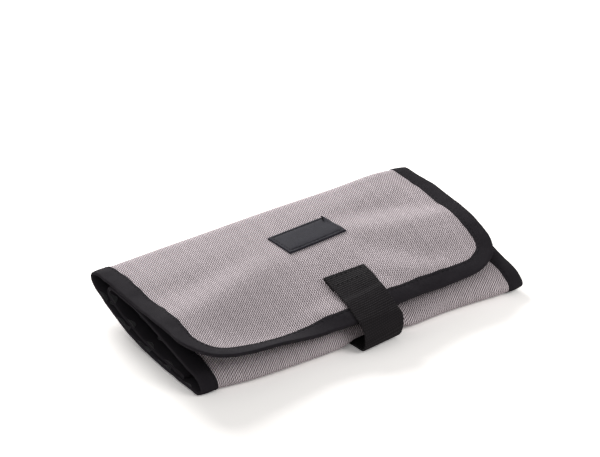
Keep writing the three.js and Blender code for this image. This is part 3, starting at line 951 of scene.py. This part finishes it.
def hand_sewn(face, back, inward, outward, seed):
    """Moves a tape's two surfaces as uneven sewing does: its sewn rim and its edge waver in the plane
    of the cloth, and the full strip between them swells and sinks."""
    run = run_lengths(face)[:, :1]
    rim, edge, swell = (waver(run, seed + k) for k in range(3))
    moved = []
    for surface, inset, full in ((face, outer_inset, fullness), (back, under_inset, 0 * under_inset)):
        share = inset / tape_width
        aside = rim_waver * rim * share - (edge_waver + edge_waver * edge) * (1 - share)
        moved.append(surface + aside[..., None] * inward
                     + (swell_waver * swell * full)[..., None] * outward)
    return moved


def body_tape(name, side, nodes_replaced):
    """The tape along one side of the strip, at an end of the roll."""
    x = side * (half_length - outer_inset)
    face, back = body_points(x, outer_out), body_points(side * (half_length - under_inset), under_out)
    outward = body_points(x, outer_out + 1) - face
    face, back = hand_sewn(face, back, np.array([-side, 0, 0]), outward, seed=11 + side)
    piece = slab(name, face, back, stacked(section_run, run_lengths(face)), edge_tape)
    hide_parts(*nodes_replaced)
    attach(piece, "roll")
    return piece


sides = (("left", -1), ("right", 1))
for side_name, side in sides:
    covered = [f"{stretch}_binding_{side_name}"
               for stretch in ("bottom", "front_fold", "middle", "inner_fold", "inner")]
    body_tape(f"body_edge_tape_{side_name}", side, covered)

# %% Tape round the flap
def flap_outline(inset, step=1.2):
    """Places (a, b) along the flap's outline, inset millimetres inside it: up the left side of the back
    fold and the flap, round the corner, along the free edge, and back down the right side."""
    inset = np.atleast_1d(inset)[None, :]
    radius = corner_radius - inset
    side = rows_along(step)[:, None]
    turn = np.linspace(0, math.pi / 2, 36)[:, None]
    corner_a = half_length - inset - radius * (1 - np.cos(turn))
    corner_b = corner_start + radius * np.sin(turn)
    left_a = np.concatenate([-(half_length - inset) + 0 * side, -corner_a])
    left_b = np.concatenate([side + 0 * inset, corner_b])
    share = np.linspace(0, 1, 140)[1:-1, None]
    front_a = (1 - 2 * share) * left_a[-1]
    front_b = left_b[-1] + 0 * share
    return (np.concatenate([left_a, front_a, -left_a[::-1]]),
            np.concatenate([left_b, front_b, left_b[::-1]]))


face = flap_points(*flap_outline(outer_inset), outer_out)
back = flap_points(*flap_outline(under_inset), under_out)
outward = flap_points(*flap_outline(outer_inset), outer_out + 1) - face
rims = [flap_points(*flap_outline(inset), 0) for inset in (0, 4)]
print("the tape round the flap is", round(float(run_lengths(rims[0])[-1, 0]), 1), "mm long")
face, back = hand_sewn(face, back, (rims[1] - rims[0]) / 4, outward, seed=21)
flap_tape = slab("flap_edge_tape", face, back, stacked(section_run, run_lengths(face)), edge_tape)
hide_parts("flap_binding", "back_fold_binding_left", "back_fold_binding_right")
opens_with_flap(flap_tape)

# %% Tape along the inner panel's end
def inner_points(x, inset, out):
    """Points of the inner panel, inset millimetres from its free end and out of its outer face."""
    y = inner_front + inset - tape_over
    slope = slope_along(inner_height, x, y)
    size = np.hypot(1, slope)
    return stacked(x + inner_shift(y), y + out * slope / size, inner_height(x, y) - out / size)


def lapped(x, out):
    """The end tape's distances out of the cloth, where its upper layer steps up onto the side tapes
    from their sewn edges outwards. Its lower layer stays."""
    step = lap_step * ramp(np.abs(x), half_length - tape_width - 0.8, over=1.2)
    return out - step * np.clip((round_middle - out) / (plies / 2), 0, 1)


lap_step = 0.42  # a little more than the tape's thickness
end_over = 0.15  # how far the end tape stands over the side tapes
end_x = np.linspace(-half_length - end_over, half_length + end_over, 180)[:, None]
print("the end tape is", round(float(np.ptp(end_x)), 1), "mm long")
face = inner_points(end_x, outer_inset, lapped(end_x, outer_out))
back = inner_points(end_x, under_inset, lapped(end_x, under_out))
end_tape = slab("inner_end_tape", face, back, stacked(section_run, face[..., 0]), edge_tape)
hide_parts("inner_end_binding")
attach(end_tape, "roll")

# %% [markdown]
# ## Stitches
# Each stitch is a short thread that rises out of the cloth and dips back in. One small capsule is made
# once, and whole arrays of them are laid along a line of points with its surface's normals.

# %% Stitch maker
stitch_length, stitch_gap, thread_radius = 2.4, 0.8, 0.19
ring_count, ring_sides = 6, 6


def stitch_capsule():
    """A stitch of length 1: rings of points (along, across, up) whose middle arches up and whose ends
    are narrow."""
    t = np.linspace(-1, 1, ring_count)[:, None]
    turn = np.arange(ring_sides)[None, :] * 2 * math.pi / ring_sides
    width = np.sqrt(np.maximum(1 - t**4, 0.03))
    up = 0.9 * (1 - t**2) - 0.55
    return np.stack([t / 2 + 0 * turn, width * np.cos(turn), up + width * np.sin(turn)], -1)


def tube_quads(rings, sides):
    """The faces of a tube of rings with an even number of sides. Each end is closed by a fan of
    four-sided faces round its first corner."""
    at = np.arange(rings * sides).reshape(rings, sides)
    ahead = np.roll(at, -1, axis=1)
    wall = np.stack([at[:-1], ahead[:-1], ahead[1:], at[1:]], -1).reshape(-1, 4)
    fan = np.array([[0, k, k + 1, k + 2] for k in range(1, sides - 1, 2)])
    return np.concatenate([wall, fan[:, ::-1], at[-1, fan]])


def sewn(name, lines, length=stitch_length, gap=stitch_gap):
    """One mesh with a row of stitches along each line. A line is (points, normals) in millimetres."""
    shape, faces = stitch_capsule().reshape(-1, 3), tube_quads(ring_count, ring_sides)
    all_points = []
    for points, normals in lines:
        along = run_lengths(points[:, None])[:, 0]
        number = max(1, int(along[-1] / (length + gap)))
        centres = (np.arange(number) + 0.5) * along[-1] / number
        pick = lambda values, at: np.stack([np.interp(at, along, values[:, k]) for k in range(3)], -1)
        run = pick(points, centres + length / 2) - pick(points, centres - length / 2)
        run /= np.linalg.norm(run, axis=1, keepdims=True)
        up = pick(normals, centres)
        up -= (up * run).sum(1, keepdims=True) * run
        up /= np.linalg.norm(up, axis=1, keepdims=True)
        side = np.cross(up, run)
        all_points.append(pick(points, centres)[:, None]
                          + length * shape[:, :1] * run[:, None]
                          + thread_radius * (shape[:, 1:2] * side[:, None] + shape[:, 2:] * up[:, None]))
    made = np.concatenate(all_points)
    first = np.arange(len(made)) * len(shape)
    points, quads = made.reshape(-1, 3), (faces + first[:, None, None]).reshape(-1, 4)
    print(name, "has", len(made), "stitches")
    return make_piece(name, points, quads, points[:, :2], black_thread, crease=80)


def with_normals(place, out):
    """A stitch line: the points that place(out) gives, out millimetres outside the cloth, and their
    normals, which are the way to the points half a millimetre further off, over that distance."""
    low, high = place(out), place(out + 0.5 * np.sign(out))
    return low, (high - low) / 0.5


def box_lines(line, low, high):
    """A stitch line along each side of a box between its low and high corners. The function
    line(p, q) makes one from the places along a side."""
    corners = [low, (high[0], low[1]), high, (low[0], high[1])]
    t = np.linspace(0, 1, 40)
    return [line(*(p + (q - p) * t for p, q in zip(start, end)))
            for start, end in zip(corners, corners[1:] + corners[:1])]


# %% Stitches along the tapes
sunk = 0.04  # how far a thread's middle lies under the surface that it is pressed into
both_faces = (tape_over - sunk, -plies - tape_over + sunk)


def flap_line(out):
    """A stitch line round the flap on its outer side (out above 0) or its lining side."""
    a, b = flap_outline(stitch_inset)
    return with_normals(lambda out: flap_points(a, b, out)[:, 0], out)


def body_line(side, out):
    """A stitch line along one side of the strip."""
    return with_normals(lambda out: body_points(side * (half_length - stitch_inset), out)[:, 0], out)


def end_line(out):
    """A stitch line along the inner panel's end, on the tape's face there."""
    x = end_x[3:-3]
    return with_normals(lambda out: inner_points(x, stitch_inset, lapped(x, out))[:, 0], out)


flap_stitches = sewn("flap_edge_stitches", [flap_line(out) for out in both_faces])
opens_with_flap(flap_stitches)
body_stitches = sewn("body_edge_stitches", [body_line(side, out) for side in (-1, 1) for out in both_faces])
end_stitches = sewn("inner_end_stitches", [end_line(out) for out in both_faces])
for piece in (body_stitches, end_stitches):
    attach(piece, "roll")

# %% [markdown]
# ## Label
# A bare patch of dark leather, with the pressed border line and the row of stitches that such a patch
# has. It lies on the flap, so it takes the flap's curve, and its edges are rounded by lowering the
# surface near them. A flat box laid on the cloth would cut through it, because the cloth is curved.

# %% Label
label_length, label_width, label_depth = 40.0, 21.6, 1.1
label_a, label_b, label_turn = 12.0, 32.2, math.radians(-1.8)
label_shear = 0.07  # how far it is out of square, per millimetre across it
border_inset, edge_radius = 1.9, 0.7
groove_depth, groove_width, pillow_rise = 0.32, 0.42, 0.12


def label_place(p, q):
    """Where a place on the label, p along it and q towards the flap's edge, lies on the flap: turned,
    and drawn a little out of square."""
    return (label_a + p * math.cos(label_turn) - q * math.sin(label_turn) + label_shear * q,
            label_b + p * math.sin(label_turn) + q * math.cos(label_turn))


def label_top(p, q):
    """The label's thickness at p, q: rounded at its edges, and pressed in along its border line."""
    edge = np.minimum(label_length / 2 - np.abs(p), label_width / 2 - np.abs(q))
    rounded = np.sqrt(1 - (1 - np.clip(edge / edge_radius, 0, 1)) ** 2)
    groove = groove_depth * bell((edge - border_inset) / groove_width)
    pillow = pillow_rise * ramp(edge, border_inset, over=4)
    return label_depth * (0.45 + 0.55 * rounded) - groove + pillow


def closer_at_edges(size, count, insets):
    """Places across a side of some size: at insets from its two edges, and count even ones from the
    last inset on one side to that on the other."""
    edge = size / 2 - np.array(insets)
    return np.concatenate([-edge[:-1], np.linspace(-edge[-1], edge[-1], count), edge[-2::-1]])


def label_cells(size, step=0.35):
    """Grid lines across one of the label's sides."""
    return closer_at_edges(size, int(size / step), [0, 0.05, 0.15, 0.3, 0.5, 0.8])


p, q = label_cells(label_length)[None, :], label_cells(label_width)[:, None]
print("the label is", label_length, "by", label_width, "mm, in", p.size, "by", q.size, "grid lines")
a, b = label_place(p, q)
label = slab("label_leather_patch", flap_points(a, b, cloth_gap + label_top(p, q)),
             flap_points(a, b, cloth_gap), stacked(p, q), label_leather, crease=60)
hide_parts("label_patch")
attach(label, "flap")

# %% Label stitches and the loose thread
def label_line(p, q):
    """A stitch line on the label through places p, q."""
    a, b = label_place(p, q)
    return with_normals(lambda out: flap_points(a, b, out), cloth_gap + label_top(p, q) + 0.05)


corner = np.array([label_length / 2 - border_inset, label_width / 2 - border_inset])
label_stitches = sewn("label_stitches", box_lines(label_line, -corner, corner), length=1.9, gap=0.6)
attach(label_stitches, "flap")


def tube(name, path, radius, material, sides=8):
    """A thread along a path of points, with a round section that narrows at its two ends."""
    run = np.gradient(path, axis=0)
    run /= np.linalg.norm(run, axis=1, keepdims=True)
    side = np.cross(run, [0.3, 1.0, 0.2])  # any way that the path doesn't take
    side /= np.linalg.norm(side, axis=1, keepdims=True)
    up = np.cross(run, side)
    t = np.linspace(0, 1, len(path))
    wide = radius * np.sqrt(np.clip(1 - np.abs(2 * t - 1) ** 8, 0.01, 1))[:, None, None]
    turn = np.arange(sides)[:, None] * 2 * math.pi / sides
    rings = path[:, None] + wide * (np.cos(turn) * side[:, None] + np.sin(turn) * up[:, None])
    points = rings.reshape(-1, 3)
    return make_piece(name, points, tube_quads(len(path), sides), points[:, :2], material, crease=80)


thread_start, thread_way = (16.6, -6.6), (0.3, -2.6)  # on the label, in p and q
t = np.linspace(0, 1, 16)
a, b = label_place(*(start + way * t for start, way in zip(thread_start, thread_way)))
loose_path = flap_points(a, b, 1.1 + 2.6 * t - 0.6 * t**2)
loose_thread = tube("label_loose_thread", loose_path, 0.45, black_thread)
print("the loose thread is", round(float(run_lengths(loose_path[:, None])[-1, 0]), 1), "mm long")
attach(loose_thread, "flap")

# %% [markdown]
# ## Strap
# A length of 25 mm webbing, sewn to the flap with its end turned under. It runs over the flap's edge,
# stands off in front of the front fold, turns under the roll and is held there by hook and loop tape.
# It is a ribbon carried along a path, and its ribs are real: small waves in the surface, because they
# show at its edges and in the light that falls along it.

# %% Strap path
strap_width, webbing = 26.4, 1.4
hem_length = 9.0
hem_turn = 0.76  # half the distance between the hem's two layers
anchor_start = flap_length - 33.0
strap_yaw = 0.144  # how far its right edge lies further back under the roll, per millimetre across
floor_gap = 0.15
ground = floor_gap + webbing / 2  # the height of its middle where it lies under the roll
under_start, strap_reach = -0.8, 47.0  # where it starts to lie level, and where its tip is
furthest_y, furthest_z = (-9.6, 0.03), (11.0, 0.23)  # where it stands out most, and more per mm across
edge_handle, upper_handle, lower_handle, under_handle = 4.5, 6.0, 0.45, -7.5  # of its two bends


def edge_round(w):
    """Half the webbing's thickness at w across it: full, and round at its two edges."""
    inside = np.clip((strap_width / 2 - np.abs(w)) / (webbing / 2), 0, 1)
    return webbing / 2 * (0.25 + 0.75 * np.sqrt(1 - (1 - inside) ** 2))


def over_tape(b):
    """How far the strap's underside lies over the flap's cloth: it climbs onto the edge tape."""
    return 0.25 + tape_over * ramp(b, flap_length - tape_width - 6, over=4)


def strap_on_flap(w, b, out):
    """Points of the strap on the flap, out of the middle surface of a layer that lies on it."""
    return flap_points(strap_across + w, b, over_tape(b) + webbing / 2 + out)


def sewn_askew(w, b):
    """How far further back the strap's sewn end lies: most at its left edge, fading out along it."""
    return (0.11 * w - 1.45) * (1 - ramp(b, anchor_start, over=24))


def hem_path(step=0.27):
    """The strap's path from its turned-under end, as places b and heights over the cloth with the
    path's own normals: back along the flap, up round a half circle, and forward on top, from where it
    comes down slowly onto the edge tape."""
    under = np.arange(anchor_start + hem_length, anchor_start + hem_turn, -step)
    turn = np.linspace(0, math.pi, 11)[1:-1]
    over = np.arange(anchor_start + hem_turn, flap_length, step)
    b = np.concatenate([under, anchor_start + hem_turn - hem_turn * np.sin(turn), over])
    drop = 1 - ramp(over, anchor_start + hem_length - 2, over=17)
    h = np.concatenate([0 * under, hem_turn * (1 - np.cos(turn)), 2 * hem_turn * drop])
    run_b, run_h = np.gradient(b), np.gradient(h)
    size = np.hypot(run_b, run_h)
    return b[:, None], h[:, None], (-run_h / size)[:, None], (run_b / size)[:, None]


def strap_bends(w):
    """The strap's middle line past the flap's edge, as two cubic curves of (y, z) for each w: from the
    edge forward and down to the place where it stands furthest out, and from there under the roll."""
    edge = strap_on_flap(w, flap_length, 0)
    run = edge - strap_on_flap(w, flap_length - 1.5, 0)
    run /= np.linalg.norm(run, axis=-1, keepdims=True)
    handle = edge + edge_handle * run
    out_y, out_z = (middle + more * w for middle, more in (furthest_y, furthest_z))
    top = [(edge[..., 1], edge[..., 2]), (handle[..., 1], handle[..., 2]),
           (out_y, out_z + upper_handle), (out_y, out_z)]
    low = [(out_y, out_z), (out_y, out_z * lower_handle), (under_handle + strap_yaw * w, ground),
           (under_start + strap_yaw * w, ground)]
    return edge[..., 0], top, low


def drift(y):
    """How far the strap has gone to the left where it runs y millimetres in under the roll."""
    return 1.6 * ramp(y, -5, over=14)


def strap_off_flap(w, t, which, out):
    """Points of the strap past the flap's edge, at share t of its upper (0) or lower bend (1), moved
    square to its run."""
    x, *bends = strap_bends(w)
    at = lambda t: [cubic(t, *(place[k] for place in bends[which])) for k in (0, 1)]
    y, z = at(t)
    (y1, z1), (y0, z0) = at(t + 1e-3), at(t - 1e-3)
    size = np.hypot(y1 - y0, z1 - z0)
    return stacked(x - which * drift(y), y + out * (z1 - z0) / size, z - out * (y1 - y0) / size)


def strap_under(w, y, out):
    """Points of the strap under the roll: level, with its outer face down."""
    return stacked(strap_bends(w)[0] - drift(y), y, ground - out)


# %% Strap pieces
def rib_wave(length):
    """Ribs across the webbing, as a height for each length along it."""
    return rib_height * (np.cos(2 * math.pi * length / rib_pitch) - 1) / 2


def strap_piece(name, middle):
    """A ribbon from its middle surface: middle(w, out) gives its rows. Ribs are added from the
    lengths along its left edge."""
    w = closer_at_edges(strap_width, 44, [0, 0.1, 0.3, 0.6, 0.9])[None, :]
    rows = run_lengths(middle(w, np.zeros((1, 1))))[:, :1]
    half = edge_round(w) + rib_wave(rows) * ramp(strap_width / 2 - np.abs(w), over=0.8)
    print(name, "is", round(float(rows[-1, 0]), 1), "mm long at its left edge, in", len(rows), "rows")
    return slab(name, middle(w, half), middle(w, -half), stacked(w, rows), webbing_cloth, crease=70)


def in_parts(out, count):
    """Splits the offsets of a ribbon after count rows, or repeats a single offset for both parts."""
    return (out, out) if len(out) == 1 else (out[:count], out[count:])


def upper_rows(w, out):
    """The strap from its turned end, over the flap's edge, to where it stands furthest out."""
    b, h, normal_b, normal_h = hem_path()
    t = np.linspace(0, 1, bend_steps)[1:, None]
    on, off = in_parts(out, len(b))
    askew_b = b + sewn_askew(w, b)
    return np.concatenate([strap_on_flap(w, askew_b + normal_b * on, h + normal_h * on),
                           strap_off_flap(w, t, 0, off)])


def lower_rows(w, out):
    """The strap from there down, under the roll, to its tip."""
    t = np.linspace(0, 1, bend_steps)[:-1, None]
    y = np.linspace(under_start, strap_reach, 176)[:, None]
    off, under = in_parts(out, len(t))
    back = strap_yaw * w * (1 - ramp(y, under_start, over=12))
    return np.concatenate([strap_off_flap(w, t, 1, off), strap_under(w, y + back, under)])


bend_steps = 76
upper_strap = strap_piece("strap_upper", upper_rows)
lower_strap = strap_piece("strap_lower", lower_rows)
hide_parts("strap_anchor")
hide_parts("strap_front", "strap_tip")
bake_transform(upper_strap)
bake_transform(lower_strap)

# %% Strap stitches
side_w = strap_width / 2 - 2.2
box = (-side_w, anchor_start + 2.0), (side_w, anchor_start + hem_length - 1.2)


def strap_line(w, b):
    """A stitch line on the sewn end of the strap through places w, b."""
    b = b + sewn_askew(w, b)
    return with_normals(lambda out: strap_on_flap(w, b, out), 2 * hem_turn + webbing / 2 - 0.06)


def underside_line(w, b):
    """The same stitches where they come through the lining."""
    b = b + sewn_askew(w, b)
    return with_normals(lambda out: flap_points(strap_across + w, b, out), -plies - sunk)


strap_stitches = sewn("strap_box_stitches", box_lines(strap_line, *box), length=2.2, gap=0.6)
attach(strap_stitches, "flap")
under_stitches = sewn("strap_box_stitches_inside", box_lines(underside_line, *box), length=2.2, gap=0.6)
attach(under_stitches, "flap")

# %% [markdown]
# ## Hook and loop tape
# The strap's tip carries hook tape on its upper side, and loop tape is sewn to the roll's underside
# over it. Both are thin strips with a rough pile, so their faces are broken up by small waves.

# %% Fastener
fastener_depth, fastener_width, pile_depth = 0.8, 23.0, 0.25
hook_start, loop_ends = 12.0, (7.0, 65.0)


def pile(x, y):
    """A rough surface: three waves across each other, as a height from 0 to 1."""
    return (np.sin(5.1 * x + 1.3 * y) + np.sin(4.3 * y - 2.2 * x) + np.sin(7.7 * x - 5.9 * y) + 3) / 6


def fastener_strip(name, y, base, toward, node, body):
    """A strip of tape along places y, with pile on the face away from base(x, y), which is its sewn
    face: toward is 1 where the pile is up and -1 where it is down."""
    x = strap_x + np.linspace(-0.5, 0.5, 76)[None, :] * fastener_width
    y = y[:, None]
    print(name, "is", fastener_width, "by", round(float(np.ptp(y)), 1), "mm")
    middle = base(x, y) + toward * (cloth_gap + fastener_depth / 2)
    face = middle + toward * (fastener_depth / 2 - pile_depth + pile_depth * pile(x, y))
    back = middle - toward * fastener_depth / 2
    piece = slab(name, stacked(x, y, face), stacked(x, y, back), stacked(x, y), fastener_pile, crease=70)
    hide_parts(node)
    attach(piece, body)
    return piece


hooks = fastener_strip("hook_strip", np.linspace(hook_start, strap_reach - 1, 110),
                       lambda x, y: floor_gap + webbing, 1, "hook_tape", "strap_tip")
loops = fastener_strip("loop_strip", np.linspace(*loop_ends, 150), bottom_height, -1, "loop_tape", "roll")

# %% [markdown]
# ## Pencil loops
# Bands of elastic are sewn across the lining at even steps, and each step leaves room for one pencil.
# A band touches the lining at its seams and arches between them, so it is a ribbon with a row of arches.

# %% Elastic loops
loop_step, loop_count, loop_rise, loop_cells = 11.0, 5, 1.9, 24
band_cloth, band_width, band_x = 0.6, 16.0, 52.0
knit_depth, knit_pitch = 0.05, 1.2


def band(name, height, upwards, y_first, side):
    """Elastic under the middle panel (upwards -1) or over the inner one (1)."""
    y = np.linspace(y_first, y_first + loop_count * loop_step, loop_count * loop_cells + 1)[:, None]
    x = side * band_x + np.linspace(-band_width / 2, band_width / 2, 26)[None, :]
    arch = loop_rise * np.sin(math.pi * (y - y_first) / loop_step) ** 2
    knit = knit_depth * np.sin(2 * math.pi * x / knit_pitch)
    back = height(x, y) + upwards * (plies + 0.25 + arch)
    face = back + upwards * (band_cloth + knit)
    piece = slab(name, stacked(x, y, face), stacked(x, y, back), stacked(x, y), elastic_knit, crease=60)
    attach(piece, "roll")
    return piece


for side_name, side in sides:
    middle_band = band(f"elastic_middle_{side_name}", middle_height, -1, 30, side)
    inner_band = band(f"elastic_inner_{side_name}", inner_height, 1, 34, side)
    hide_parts(f"middle_loops_{side_name}")
    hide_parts(f"inner_loops_{side_name}")
print(4 * loop_count, "pencil loops")
